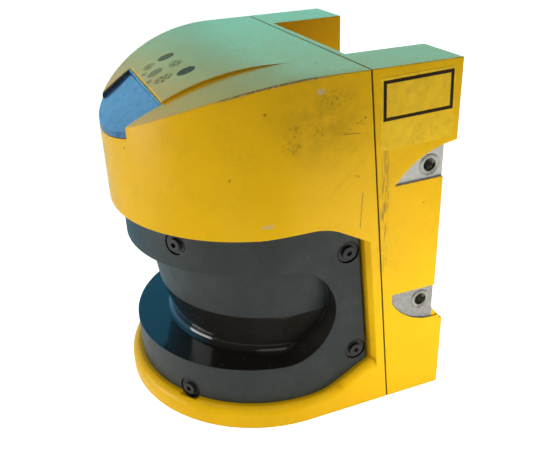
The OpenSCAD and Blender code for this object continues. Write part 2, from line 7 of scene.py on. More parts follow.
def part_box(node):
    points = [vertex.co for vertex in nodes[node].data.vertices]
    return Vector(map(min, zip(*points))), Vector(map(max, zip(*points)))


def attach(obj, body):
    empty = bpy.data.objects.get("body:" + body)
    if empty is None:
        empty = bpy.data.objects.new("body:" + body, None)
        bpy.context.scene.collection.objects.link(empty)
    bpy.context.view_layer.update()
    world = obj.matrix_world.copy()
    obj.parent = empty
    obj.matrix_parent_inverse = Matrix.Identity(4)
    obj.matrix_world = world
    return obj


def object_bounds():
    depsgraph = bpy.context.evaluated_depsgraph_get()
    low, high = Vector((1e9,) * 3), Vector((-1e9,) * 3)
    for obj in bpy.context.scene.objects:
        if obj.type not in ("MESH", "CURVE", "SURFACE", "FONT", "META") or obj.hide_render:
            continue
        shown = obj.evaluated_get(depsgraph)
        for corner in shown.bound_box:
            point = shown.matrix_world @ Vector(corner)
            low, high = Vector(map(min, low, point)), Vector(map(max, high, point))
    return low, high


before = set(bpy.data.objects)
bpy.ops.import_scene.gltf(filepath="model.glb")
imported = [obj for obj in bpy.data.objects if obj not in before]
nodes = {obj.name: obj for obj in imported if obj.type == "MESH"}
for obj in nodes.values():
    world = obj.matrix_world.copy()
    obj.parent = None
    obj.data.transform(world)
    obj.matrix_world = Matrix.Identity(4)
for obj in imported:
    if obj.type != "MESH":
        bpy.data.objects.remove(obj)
cadLow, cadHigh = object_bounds()
print("frame loaded:", len(nodes), "nodes")

mm = 0.001
halfWidth = cadHigh.x / mm          # flat sides, in mm
bodyTop = cadHigh.z / mm
noseY = cadLow.y / mm + halfWidth   # axis of the round nose


viewCamera = {
    "location": (0.33037, -0.11463, 0.25935),
    "heading": 69.894,              # turn about the vertical
    "pitch": 25.157,                # below level
    "roll": -2.468,
    "lens": 44.016,
    "shift": (0.02434, -0.04218),
}


def addCamera(spec):
    data = bpy.data.cameras.new("camera")
    data.sensor_width = 36
    data.lens = spec["lens"]
    data.shift_x, data.shift_y = spec["shift"]
    data.clip_start = 0.01
    data.clip_end = 50
    turn = Matrix.Rotation(math.radians(spec["heading"]), 4, "Z")
    turn = turn @ Matrix.Rotation(math.radians(90 - spec["pitch"]), 4, "X")
    turn = turn @ Matrix.Rotation(math.radians(spec["roll"]), 4, "Z")
    camera = bpy.data.objects.new("camera", data)
    camera.matrix_world = Matrix.Translation(spec["location"]) @ turn
    bpy.context.scene.collection.objects.link(camera)
    bpy.context.scene.camera = camera


addCamera(viewCamera)
print("camera placed")


# short ways to add shader nodes
def feed(tree, socket, value):
    if isinstance(value, bpy.types.NodeSocket):
        tree.links.new(value, socket)
    elif value is not None:
        socket.default_value = value


def add(tree, kind, inputs=None, **settings):
    node = tree.nodes.new("ShaderNode" + kind)
    for key, value in settings.items():
        setattr(node, key, value)
    for key, value in (inputs or {}).items():
        feed(tree, node.inputs[key], value)
    return node


def calc(tree, operation, a, b=None, c=None, clamp=False):
    node = add(tree, "Math", {0: a, 1: b, 2: c}, operation=operation, use_clamp=clamp)
    return node.outputs[0]


def product(tree, *values):
    result = values[0]
    for value in values[1:]:
        result = calc(tree, "MULTIPLY", result, value)
    return result


def largest(tree, values):
    result = values[0]
    for value in values[1:]:
        result = calc(tree, "MAXIMUM", result, value)
    return result


def ramp(tree, value, low, high, toLow=0.0, toHigh=1.0, kind="SMOOTHSTEP"):
    node = add(tree, "MapRange", {"Value": value, "From Min": low, "From Max": high,
                                  "To Min": toLow, "To Max": toHigh},
               interpolation_type=kind, clamp=True)
    return node.outputs["Result"]


def blendColour(tree, mask, a, b, kind="MIX"):
    node = add(tree, "Mix", data_type="RGBA", blend_type=kind)
    feed(tree, node.inputs[0], mask)
    feed(tree, node.inputs[6], a)
    feed(tree, node.inputs[7], b)
    return node.outputs[2]


def noise(tree, place, scale, detail=3.0, roughness=0.55, distortion=0.0):
    node = add(tree, "TexNoise", {"Vector": place, "Scale": scale, "Detail": detail,
                                  "Roughness": roughness, "Distortion": distortion})
    return node.outputs["Fac"]


def stretch(tree, place, factors, shift=(0, 0, 0)):
    node = add(tree, "Mapping", {"Vector": place, "Scale": factors, "Location": shift})
    return node.outputs[0]


def placeInMm(tree):
    coordinates = add(tree, "TexCoord")
    node = add(tree, "VectorMath", {0: coordinates.outputs["Object"], "Scale": 1 / mm},
               operation="SCALE")
    return node.outputs[0]


def axes(tree, place):
    return add(tree, "SeparateXYZ", {0: place}).outputs


def lengthOf(tree, vector):
    return add(tree, "VectorMath", {0: vector}, operation="LENGTH").outputs["Value"]


def newGroup(name, inputs, outputs):
    group = bpy.data.node_groups.new(name, "ShaderNodeTree")
    for label, kind, value in inputs:
        socket = group.interface.new_socket(label, in_out="INPUT", socket_type=kind)
        if value is not None:
            socket.default_value = value
    for label, kind in outputs:
        group.interface.new_socket(label, in_out="OUTPUT", socket_type=kind)
    return group, group.nodes.new("NodeGroupInput"), group.nodes.new("NodeGroupOutput")


def useGroup(tree, group, inputs):
    node = tree.nodes.new("ShaderNodeGroup")
    node.node_tree = group
    for key, value in inputs.items():
        feed(tree, node.inputs[key], value)
    return node.outputs


# effects that several materials share
def makeEdgeWear():
    # high on outer edges that have rubbed through, broken up by noise
    group, start, end = newGroup(
        "edgeWear",
        [("Place", "NodeSocketVector", None), ("Radius", "NodeSocketFloat", 0.001),
         ("Amount", "NodeSocketFloat", 0.5), ("Grain", "NodeSocketFloat", 0.4)],
        [("Mask", "NodeSocketFloat"), ("Edge", "NodeSocketFloat")])
    soft = add(group, "Bevel", {"Radius": start.outputs["Radius"]}, samples=6)
    facts = add(group, "NewGeometry")
    together = add(group, "VectorMath", {0: soft.outputs[0], 1: facts.outputs["True Normal"]},
                   operation="DOT_PRODUCT").outputs["Value"]
    bend = ramp(group, together, 0.998, 0.88)
    hollow = add(group, "AmbientOcclusion", {"Distance": 0.003}, samples=4,
                 only_local=True).outputs["AO"]
    outer = calc(group, "MULTIPLY", bend, ramp(group, hollow, 0.75, 0.95))
    breaks = noise(group, start.outputs["Place"], start.outputs["Grain"], 5.0, 0.65)
    limit = calc(group, "SUBTRACT", 1.0, start.outputs["Amount"])
    rubbed = ramp(group, breaks, limit, calc(group, "ADD", limit, 0.05))
    feed(group, end.inputs["Mask"], calc(group, "MULTIPLY", outer, rubbed, clamp=True))
    feed(group, end.inputs["Edge"], outer)
    return group


def makeGrime():
    # broad dull patches with finer specks inside them
    group, start, end = newGroup(
        "grime",
        [("Place", "NodeSocketVector", None), ("Scale", "NodeSocketFloat", 0.05),
         ("Amount", "NodeSocketFloat", 0.5)],
        [("Mask", "NodeSocketFloat")])
    broad = noise(group, start.outputs["Place"], start.outputs["Scale"], 4.0, 0.6)
    fine = noise(group, start.outputs["Place"],
                 calc(group, "MULTIPLY", start.outputs["Scale"], 9.0), 4.0, 0.7)
    both = calc(group, "MULTIPLY", ramp(group, broad, 0.42, 0.68), ramp(group, fine, 0.3, 0.75))
    feed(group, end.inputs["Mask"],
         calc(group, "MULTIPLY", both, start.outputs["Amount"], clamp=True))
    return group


def makePatch():
    # one soft-edged round or long patch at a place, in mm
    group, start, end = newGroup(
        "patch",
        [("Place", "NodeSocketVector", None), ("Centre", "NodeSocketVector", None),
         ("Size", "NodeSocketVector", None), ("Soft", "NodeSocketFloat", 0.3)],
        [("Mask", "NodeSocketFloat")])
    away = add(group, "VectorMath", {0: start.outputs["Place"], 1: start.outputs["Centre"]},
               operation="SUBTRACT").outputs[0]
    scaled = add(group, "VectorMath", {0: away, 1: start.outputs["Size"]},
                 operation="DIVIDE").outputs[0]
    far = add(group, "VectorMath", {0: scaled}, operation="LENGTH").outputs["Value"]
    feed(group, end.inputs["Mask"],
         ramp(group, far, 1.0, calc(group, "SUBTRACT", 1.0, start.outputs["Soft"])))
    return group


def makeScratches():
    # thin broken lines along one direction
    group, start, end = newGroup(
        "scratches",
        [("Place", "NodeSocketVector", None), ("Amount", "NodeSocketFloat", 0.5)],
        [("Mask", "NodeSocketFloat")])
    lines = noise(group, start.outputs["Place"], 1.0, 2.0, 0.5)
    limit = calc(group, "SUBTRACT", 0.95, calc(group, "MULTIPLY", start.outputs["Amount"], 0.35))
    feed(group, end.inputs["Mask"], ramp(group, lines, limit, calc(group, "ADD", limit, 0.04)))
    return group


def makeCoatRelief():
    # the slight waves and pits of sprayed or moulded surfaces, as a height
    group, start, end = newGroup(
        "coatRelief",
        [("Place", "NodeSocketVector", None), ("Waves", "NodeSocketFloat", 0.8),
         ("Pits", "NodeSocketFloat", 6.0), ("Mix", "NodeSocketFloat", 0.3)],
        [("Height", "NodeSocketFloat")])
    waves = noise(group, start.outputs["Place"], start.outputs["Waves"], 2.0, 0.5)
    pits = noise(group, start.outputs["Place"], start.outputs["Pits"], 2.0, 0.6)
    share = calc(group, "MULTIPLY", pits, start.outputs["Mix"])
    feed(group, end.inputs["Height"], calc(group, "ADD", waves, share))
    return group


edgeWear = makeEdgeWear()
grime = makeGrime()
patch = makePatch()
scratches = makeScratches()
coatRelief = makeCoatRelief()
print("shared effects made")


def patchAt(tree, place, centre, size, soft=0.3):
    return useGroup(tree, patch, {"Place": place, "Centre": centre, "Size": size,
                                  "Soft": soft})["Mask"]


def scoreAt(tree, place, start, end, width):
    # a thin line between two points
    a, b = Vector(start), Vector(end)
    along = (b - a).normalized()
    half = (b - a).length / 2
    away = add(tree, "VectorMath", {0: place, 1: tuple((a + b) / 2)}, operation="SUBTRACT")
    run = add(tree, "VectorMath", {0: away.outputs[0], 1: tuple(along)},
              operation="DOT_PRODUCT").outputs["Value"]
    held = add(tree, "VectorMath", {0: tuple(along), "Scale": run}, operation="SCALE")
    off = add(tree, "VectorMath", {0: away.outputs[0], 1: held.outputs[0]},
              operation="DISTANCE").outputs["Value"]
    ends = ramp(tree, calc(tree, "ABSOLUTE", run), half, half - 1.2)
    return product(tree, ramp(tree, off, width, width * 0.4), ends)


def newMaterial(name):
    material = bpy.data.materials.new(name)
    material.use_nodes = True
    tree = material.node_tree
    tree.nodes.clear()
    shader = add(tree, "BsdfPrincipled")
    output = add(tree, "OutputMaterial", {"Surface": shader.outputs[0]})
    output.is_active_output = True
    return material, tree, shader


def bump(tree, height, distance, strength=1.0, normal=None):
    node = add(tree, "Bump", {"Height": height, "Distance": distance, "Strength": strength,
                              "Normal": normal})
    return node.outputs[0]


# places and sizes on the castings are in mm
yellowPaint = {
    "colour": (0.92, 0.53, 0.006, 1),
    "deepColour": (0.80, 0.44, 0.004, 1),       # where the coat is thicker
    # also painted shade: the colour of the darkening in crevices and of the veil over the upper
    # side
    "dirtColour": (0.20, 0.135, 0.014, 1),
    "smudgeColour": (0.16, 0.095, 0.03, 1),
    "scrapeColour": (0.12, 0.10, 0.09, 1),
    "speckColour": (0.085, 0.065, 0.035, 1),
    "primerColour": (0.085, 0.08, 0.105, 1),
    "flakeColour": (0.62, 0.56, 0.42, 1),
    "metalColour": (0.51, 0.495, 0.465, 1),
    "dullMetal": (0.32, 0.31, 0.295, 1),
    # painted light: the pockets' metal turns paler here
    "upperLitMetal": (0.92, 0.91, 0.86, 1),        # in the upper pockets
    # dark print, tinted teal as a painted reflection of the coloured sheet
    "printAndReflectionColour": (0.030, 0.125, 0.125, 1),
    # how strongly each mark covers the coat
    "scraped": 0.75, "faint": 0.30, "smudged": 0.72, "specked": 0.68, "scuffed": 0.75,
    "chipped": 0.92,
    "roughness": 0.30,
    "specular": 0.13,
    "edgeRadius": 0.0009,           # in m
    "wornRadius": 0.0016,           # along the knocked top edge
    # centre and size of the areas that the wear keeps to
    "knocks": ((74, -14, 179), (15, 30, 14)),
    # painted shade: the area of the dark veil, where the peppered specks go too
    "shadedAndHandled": ((77.5, 8, 166), (14, 40, 34)),
    "scrapes": ((77.5, 39.7, 112), (5, 3.6, 72)),
    "smudges": ((77.5, 39.4, 116), (5, 4.2, 50)),
    "slants": ((77.5, 11, 145), (8, 22, 24)),
    # soft dark rubs: centre and size
    "rubs": [((77.5, -6.7, 162), (9, 7, 9)), ((77.5, 5.2, 161), (9, 7, 8)),
             ((77.5, -7, 155), (9, 8, 6)), ((77.5, 27, 162), (9, 3, 3)),
             ((77.5, 12, 174), (9, 14, 8))],
    # small dark specks: centre and radius
    "specks": [((69.7, -34.4, 142), 0.75), ((75.3, -18.8, 171.4), 0.9),
               ((77.5, 25.1, 136.1), 0.7), ((77.5, 23.6, 136.6), 0.5),
               ((77.5, 61.6, 115.3), 0.6), ((77.5, -2.3, 9.9), 0.9),
               ((77.5, -5.2, 9.4), 0.8), ((29.4, -72.2, 150.6), 0.8),
               ((54.2, 14.7, 185), 0.9), ((77.5, 28.1, 163.8), 0.8),
               ((77.5, 24.0, 161.8), 0.6), ((77.5, 20.6, 159.4), 0.5)],
    # thin dark scratches: two ends and a width
    "scores": [((65.2, 13.2, 185), (68.8, 15.6, 185), 0.35),
               ((77.5, 16.2, 157.7), (77.5, 26.2, 156.9), 0.30),
               ((77.5, 27.7, 127.8), (77.5, 26.7, 108.1), 0.30)],
    # pale scuffs through the paint: centre and size
    "scuffs": [((77.5, 6.3, 178.6), (6, 2.8, 2.0)), ((75.2, -19.2, 118.5), (6, 4.2, 1.5))],
    # milled pockets round the side threads: their ends along Y and Z
    "pockets": [((44, 72), (126, 144.6)), ((45, 72), (44.6, 66))],
    "pocketDepth": (0.04, 1.6),
}
topPrints = {
    "above": (165, 168),            # the height over which the prints come in
    # centre in X and Y, radius, kind of pattern
    "discs": [((-19.0, -37.6), 4.6, "lines"), ((16.6, -36.3), 4.8, "full"),
              ((10.6, -46.4), 4.7, "blots"), ((-4.0, -47.2), 4.3, "bars")],
    "rows": [((-18.2, -47.2), (5.0, 3.6)), ((-1.6, -36.9), (5.6, 4.2)),
             ((-10.8, -51.4), (2.2, 1.6)), ((3.0, -52.2), (2.4, 1.7))],
    "slant": 20,                    # of the bars, in degrees
}


def printedMarks(tree, spec, place):
    # faded round signs and rows of dashes between the window and the top
    x, y, z = axes(tree, place)
    plan = add(tree, "CombineXYZ", {0: x, 1: y}).outputs[0]
    cloudy = noise(tree, plan, 0.62, 2.0)
    slanted = add(tree, "Mapping", {"Vector": plan,
                                    "Rotation": (0, 0, math.radians(spec["slant"]))})
    across = axes(tree, slanted.outputs[0])[0]
    inside = {
        "full": ramp(tree, cloudy, 0.75, 0.55, 0.72, 1.0),
        "lines": ramp(tree, calc(tree, "PINGPONG", x, 0.7), 0.1, 0.3, 0.45, 1.0),
        "bars": ramp(tree, calc(tree, "PINGPONG", across, 0.85), 0.25, 0.5),
        "blots": ramp(tree, cloudy, 0.50, 0.44, 0.12, 1.0),
    }
    marks = []
    for centre, size, kind in spec["discs"]:
        disc = patchAt(tree, plan, (*centre, 0), (size, size, 1), 0.08)
        marks.append(product(tree, disc, inside[kind]))
    broken = noise(tree, stretch(tree, plan, (1.6, 0.8, 1)), 1.0, 1.0)
    dashes = ramp(tree, broken, 0.46, 0.52, 0.0, 0.8)
    for centre, size in spec["rows"]:
        row = patchAt(tree, plan, (*centre, 0), (*size, 1), 0.3)
        marks.append(product(tree, row, dashes))
    return product(tree, largest(tree, marks), ramp(tree, z, *spec["above"]))


def handlingDirtAndShade(tree, spec, place, shadedAndHandled):
    # painted shade as a soft veil over the upper part of the +X side and in the corners, dark rubs
    # where hands reach, and a little grime elsewhere
    offTop = ramp(tree, axes(tree, place)[2], bodyTop - 0.1, bodyTop - 0.6)
    smears = useGroup(tree, grime, {"Place": place, "Scale": 0.055, "Amount": 0.16})["Mask"]
    rubs = [patchAt(tree, place, centre, size, 0.9) for centre, size in spec["rubs"]]
    cloud = ramp(tree, noise(tree, place, 0.55, 6.0, 0.78), 0.42, 0.64, 0.0, 0.80)
    # painted shade: a soft dark veil over the upper part of the +X side
    thin = ramp(tree, noise(tree, place, 0.10, 5.0, 0.7), 0.3, 0.7, 0.14, 0.50)
    # painted shade: darker where the AO finds corners and crevices
    creviceShade = add(tree, "AmbientOcclusion", {"Distance": 0.004}, samples=4).outputs["AO"]
    return largest(tree, [product(tree, smears, offTop), product(tree, largest(tree, rubs), cloud),
                          product(tree, shadedAndHandled, thin),
                          ramp(tree, creviceShade, 0.55, 0.25, 0.0, 0.45)])


def paintScratches(tree, spec, place):
    # upright scrapes and smudges beside the joint, and faint slanting scratches before it
    right = ramp(tree, axes(tree, place)[0], 30, 50)
    upright = stretch(tree, place, (0.2, 1.9, 0.05))
    scraped = useGroup(tree, scratches, {"Place": upright, "Amount": 0.82})["Mask"]
    scraped = product(tree, scraped, patchAt(tree, place, *spec["scrapes"], 0.5), right)
    turned = add(tree, "Mapping", {"Vector": place, "Rotation": (math.radians(-41), 0, 0)})
    turned = stretch(tree, turned.outputs[0], (0.2, 0.045, 1.3))
    faint = useGroup(tree, scratches, {"Place": turned, "Amount": 0.85})["Mask"]
    faint = product(tree, faint, patchAt(tree, place, *spec["slants"], 0.6))
    streaks = noise(tree, stretch(tree, place, (0.3, 1.0, 0.14)), 1.0, 5.0, 0.72)
    smudged = product(tree, patchAt(tree, place, *spec["smudges"], 0.8), right,
                      ramp(tree, streaks, 0.46, 0.62))
    return scraped, faint, smudged


def darkSpecks(tree, spec, place, shadedAndHandled):
    specks = [patchAt(tree, place, centre, (size,) * 3, 0.6) for centre, size in spec["specks"]]
    specks += [scoreAt(tree, place, *score) for score in spec["scores"]]
    peppered = ramp(tree, noise(tree, place, 1.3, 2.0, 0.6), 0.70, 0.76, 0.0, 0.6)
    return largest(tree, specks + [product(tree, peppered, shadedAndHandled)])


def chippedEdges(tree, place, knocks):
    # a few chips everywhere, and a rubbed, flaking line along the top edge
    few = useGroup(tree, edgeWear, {"Place": place, "Radius": 0.0007, "Amount": 0.36,
                                    "Grain": 0.35})["Mask"]
    wide = useGroup(tree, edgeWear, {"Place": place, "Radius": 0.0021, "Amount": 0.5,
                                     "Grain": 0.35})["Edge"]
    along = noise(tree, stretch(tree, place, (0.9, 0.5, 1.3)), 0.8, 5.0, 0.75)
    eaten = calc(tree, "ADD", wide, ramp(tree, along, 0.25, 0.75, -0.70, 0.40))
    many = product(tree, ramp(tree, eaten, 0.17, 0.26), ramp(tree, wide, 0.005, 0.05), knocks)
    return calc(tree, "MAXIMUM", product(tree, few, 0.8), many, clamp=True)


def milledAreas(tree, spec, place):
    x, y, z = axes(tree, place)
    side = calc(tree, "ABSOLUTE", x)
    pockets = []
    for (y0, y1), (z0, z1) in spec["pockets"]:
        pockets.append(product(tree, ramp(tree, y, y0, y0 + 0.2), ramp(tree, y, y1, y1 - 0.2),
                               ramp(tree, z, z0, z0 + 0.2), ramp(tree, z, z1, z1 - 0.2)))
    shallow, deep = spec["pocketDepth"]
    return product(tree, largest(tree, pockets),
                   ramp(tree, side, halfWidth - shallow, halfWidth - shallow - 0.06),
                   ramp(tree, side, halfWidth - deep, halfWidth - deep + 0.2))


def milledMetal(tree, spec, place):
    grain = ramp(tree, noise(tree, place, 0.7, 5.0, 0.7), 0.3, 0.7)
    metal = blendColour(tree, grain, spec["metalColour"], spec["dullMetal"])
    # painted light: the milled metal is paler towards the upper pockets
    upper = ramp(tree, axes(tree, place)[2], 80, 120, 0.0, 0.45)
    return blendColour(tree, upper, metal, spec["upperLitMetal"])


def makePaint(spec):
    material, tree, shader = newMaterial("yellowPaint")
    place = placeInMm(tree)
    shadedAndHandled = patchAt(tree, place, *spec["shadedAndHandled"], 0.95)
    knocks = patchAt(tree, place, *spec["knocks"], 0.35)

    # the coat itself is a little uneven
    tone = ramp(tree, noise(tree, place, 0.02, 3.0), 0.3, 0.7, 0.0, 0.22)
    colour = blendColour(tree, tone, spec["colour"], spec["deepColour"])

    printed = printedMarks(tree, topPrints, place)
    faded = ramp(tree, noise(tree, place, 1.6, 4.0), 0.30, 0.55, 0.62, 0.95)
    # the prints' colour carries a painted teal reflection
    colour = blendColour(tree, product(tree, printed, faded), colour, spec["printAndReflectionColour"])

    # real grime and rubs, with painted shade in the crevices and over the upper side
    dirtAndShade = handlingDirtAndShade(tree, spec, place, shadedAndHandled)
    colour = blendColour(tree, dirtAndShade, colour, spec["dirtColour"])
    scraped, faint, smudged = paintScratches(tree, spec, place)
    specked = darkSpecks(tree, spec, place, shadedAndHandled)
    scuffs = [patchAt(tree, place, centre, size, 0.7) for centre, size in spec["scuffs"]]
    scuffed = product(tree, largest(tree, scuffs),
                      ramp(tree, noise(tree, place, 0.9, 4.0, 0.7), 0.42, 0.55))
    for mask, share, over in ((scraped, "scraped", "scrapeColour"), (faint, "faint", "dirtColour"),
                              (smudged, "smudged", "smudgeColour"),
                              (specked, "specked", "speckColour"),
                              (scuffed, "scuffed", "flakeColour")):
        colour = blendColour(tree, product(tree, mask, spec[share]), colour, spec[over])

    chipped = chippedEdges(tree, place, knocks)
    flaking = noise(tree, stretch(tree, place, (1, 0.6, 1)), 1.1, 4.0, 0.7)
    bare = blendColour(tree, ramp(tree, flaking, 0.50, 0.58), spec["primerColour"],
                       spec["flakeColour"])
    colour = blendColour(tree, product(tree, chipped, spec["chipped"]), colour, bare)

    milled = milledAreas(tree, spec, place)
    colour = blendColour(tree, milled, colour, milledMetal(tree, spec, place))

    matt = calc(tree, "ADD", spec["roughness"],
                product(tree, calc(tree, "MAXIMUM", dirtAndShade, scuffed), 0.35))
    matt = calc(tree, "ADD", matt, ramp(tree, noise(tree, place, 0.5, 4.0), 0.3, 0.7, -0.04, 0.06))
    for mask, rougher in ((chipped, 0.25), (printed, 0.40), (milled, 0.12)):
        matt = calc(tree, "MULTIPLY_ADD", mask, rougher, matt)
    matt = calc(tree, "MINIMUM", matt, 1.0)

    # relief: rounded edges, the spray's orange peel, dents of the chips and milling marks
    radius = ramp(tree, knocks, 0.0, 1.0, spec["edgeRadius"], spec["wornRadius"])
    rounded = add(tree, "Bevel", {"Radius": radius}, samples=6).outputs[0]
    peel = useGroup(tree, coatRelief, {"Place": place, "Waves": 0.35, "Pits": 1.8,
                                       "Mix": 0.04})["Height"]
    normal = bump(tree, peel, 0.00003, 0.5, rounded)
    dents = product(tree, calc(tree, "ADD", chipped, scuffed), -1.0)
    normal = bump(tree, dents, 0.00012, 0.9, normal)
    arcs = add(tree, "TexWave", {"Vector": stretch(tree, place, (0.2, 1, 1), (0, -65, -40)),
                                 "Scale": 0.42, "Distortion": 1.2, "Detail": 2.0},
               wave_type="RINGS", rings_direction="X").outputs["Fac"]
    normal = bump(tree, product(tree, arcs, milled), 0.00008, 0.8, normal)

    feed(tree, shader.inputs["Base Color"], colour)
    feed(tree, shader.inputs["Metallic"], product(tree, milled, 0.55))
    feed(tree, shader.inputs["Roughness"], matt)
    feed(tree, shader.inputs["Normal"], normal)
    shader.inputs["Specular IOR Level"].default_value = spec["specular"]
    return material


screenPlastic = {
    "satin": (0.0215, 0.0285, 0.0270, 1),
    "satinDeep": (0.0175, 0.0245, 0.0240, 1),
    "gloss": (0.0165, 0.0150, 0.0120, 1),
    "dust": (0.13, 0.13, 0.12, 1),
    "rubbedEdge": (0.16, 0.16, 0.16, 1),
    "scratch": (0.22, 0.22, 0.22, 1),
    # the satin areas, in mm: outside this radius, and on the cone
    "outerRadius": 71.3,
    "coneY": 6.0,                   # the cone's own axis
    "coneLow": (57.5, 62.5),        # height and radius at the cone's lower edge
    "coneHigh": (89.4, 67.0),
    "rubbed": 0.35, "scratched": 0.10,      # how strongly these show
    "edgeRadius": 0.0006,           # in m
    "satinRoughness": 0.38,
    "glossRoughness": 0.06,
    "specular": 0.42,
}


def satinAreas(tree, spec, place):
    x, y, z = axes(tree, place)
    ahead = calc(tree, "MINIMUM", calc(tree, "SUBTRACT", y, noseY), 0.0)
    reach = lengthOf(tree, add(tree, "CombineXYZ", {0: x, 1: ahead}).outputs[0])
    outer = spec["outerRadius"]
    outside = ramp(tree, reach, outer - 0.5, outer - 0.25, kind="LINEAR")
    behind = calc(tree, "SUBTRACT", y, spec["coneY"])
    radius = lengthOf(tree, add(tree, "CombineXYZ", {0: x, 1: behind}).outputs[0])
    (z0, r0), (z1, r1) = spec["coneLow"], spec["coneHigh"]
    coneRadius = ramp(tree, z, z0, z1, r0, r1, "LINEAR")
    offCone = calc(tree, "ABSOLUTE", calc(tree, "SUBTRACT", radius, coneRadius))
    onCone = product(tree, ramp(tree, offCone, 0.45, 0.3), ramp(tree, z, z0, z0 + 0.3))
    return calc(tree, "MAXIMUM", outside, onCone)


def makeScreen(spec):
    material, tree, shader = newMaterial("screenPlastic")
    place = placeInMm(tree)
    satin = satinAreas(tree, spec, place)
    tone = ramp(tree, noise(tree, place, 0.05, 4.0), 0.3, 0.7)
    outer = blendColour(tree, tone, spec["satin"], spec["satinDeep"])
    dust = useGroup(tree, grime, {"Place": place, "Scale": 0.09, "Amount": 0.16})["Mask"]
    outer = blendColour(tree, dust, outer, spec["dust"])
    colour = blendColour(tree, satin, spec["gloss"], outer)
    wear = useGroup(tree, edgeWear, {"Place": place, "Radius": spec["edgeRadius"],
                                     "Amount": 0.45, "Grain": 0.3})["Mask"]
    colour = blendColour(tree, product(tree, wear, spec["rubbed"]), colour, spec["rubbedEdge"])
    fine = useGroup(tree, scratches, {"Place": stretch(tree, place, (0.3, 0.3, 2.2)),
                                      "Amount": 0.75})["Mask"]
    colour = blendColour(tree, product(tree, fine, spec["scratched"]), colour, spec["scratch"])

    smudge = ramp(tree, noise(tree, place, 0.12, 5.0, 0.65), 0.35, 0.75, 0.0, 0.10)
    matt = ramp(tree, satin, 0.0, 1.0, spec["glossRoughness"], spec["satinRoughness"], "LINEAR")
    matt = calc(tree, "ADD", matt, smudge, clamp=True)
    rounded = add(tree, "Bevel", {"Radius": spec["edgeRadius"]}, samples=6).outputs[0]
    skin = useGroup(tree, coatRelief, {"Place": place, "Waves": 0.9, "Pits": 5.0,
                                       "Mix": 0.6})["Height"]
    skin = product(tree, skin, ramp(tree, satin, 0.0, 1.0, 0.30, 1.0, "LINEAR"))
    feed(tree, shader.inputs["Base Color"], colour)
    feed(tree, shader.inputs["Roughness"], matt)
    feed(tree, shader.inputs["Normal"], bump(tree, skin, 0.00004, 0.5, rounded))
    shader.inputs["Specular IOR Level"].default_value = spec["specular"]
    return material


windowPlastic = {
    "deep": (0.042, 0.11, 0.25, 1),
    "cloudy": (0.095, 0.20, 0.39, 1),
    "pale": (0.22, 0.38, 0.60, 1),          # scratches and rubbed edges
    "shade": (0.012, 0.045, 0.065, 1),      # beside the pocket's walls
    "shadeX": (-20, -35),           # in mm, towards the left wall
    # painted shadow of the gap at both ends of the window
    "gapShadeX": (36.5, 37.0),          # in mm, at both ends
    # fine scratches: angle in degrees, stretch and amount
    "scratches": [(28, (0.08, 1.6, 0.3), 0.9), (-12, (0.10, 2.2, 0.3), 0.8)],
    "scratched": 0.35, "rubbed": 0.4,       # how strongly these show
    "edgeRadius": 0.0007,           # in m
    "roughness": 0.12,
    "specular": 0.45,
}


def makeWindow(spec):
    material, tree, shader = newMaterial("windowPlastic")
    place = placeInMm(tree)
    cloud = ramp(tree, noise(tree, place, 0.13, 4.0, 0.6), 0.38, 0.66)
    colour = blendColour(tree, cloud, spec["deep"], spec["cloudy"])
    lines = []
    for angle, factors, amount in spec["scratches"]:
        turned = add(tree, "Mapping", {"Vector": place, "Rotation": (0, 0, math.radians(angle))})
        turned = stretch(tree, turned.outputs[0], factors)
        lines.append(useGroup(tree, scratches, {"Place": turned, "Amount": amount})["Mask"])
    marks = largest(tree, lines)
    colour = blendColour(tree, product(tree, marks, spec["scratched"]), colour, spec["pale"])
    rim = useGroup(tree, edgeWear, {"Place": place, "Radius": 0.0006, "Amount": 0.6,
                                    "Grain": 0.4})["Edge"]
    colour = blendColour(tree, product(tree, rim, spec["rubbed"]), colour, spec["pale"])
    x = axes(tree, place)[0]
    wall = ramp(tree, x, *spec["shadeX"], 0.0, 0.55)
    # painted shadow: dark lines along both ends, where the gap beside the window shades it
    gapShade = ramp(tree, calc(tree, "ABSOLUTE", x), *spec["gapShadeX"], 0.0, 0.85)
    colour = blendColour(tree, calc(tree, "MAXIMUM", wall, gapShade), colour, spec["shade"])

    matt = calc(tree, "MULTIPLY_ADD", marks, 0.3, spec["roughness"])
    rounded = add(tree, "Bevel", {"Radius": spec["edgeRadius"]}, samples=6).outputs[0]
    waves = useGroup(tree, coatRelief, {"Place": place, "Waves": 0.12, "Pits": 2.0,
                                        "Mix": 0.05})["Height"]
    normal = bump(tree, waves, 0.0003, 0.35, rounded)
    normal = bump(tree, product(tree, marks, -1.0), 0.00003, 0.6, normal)
    feed(tree, shader.inputs["Base Color"], colour)
    feed(tree, shader.inputs["Roughness"], matt)
    feed(tree, shader.inputs["Normal"], normal)
    shader.inputs["Specular IOR Level"].default_value = spec["specular"]
    return material


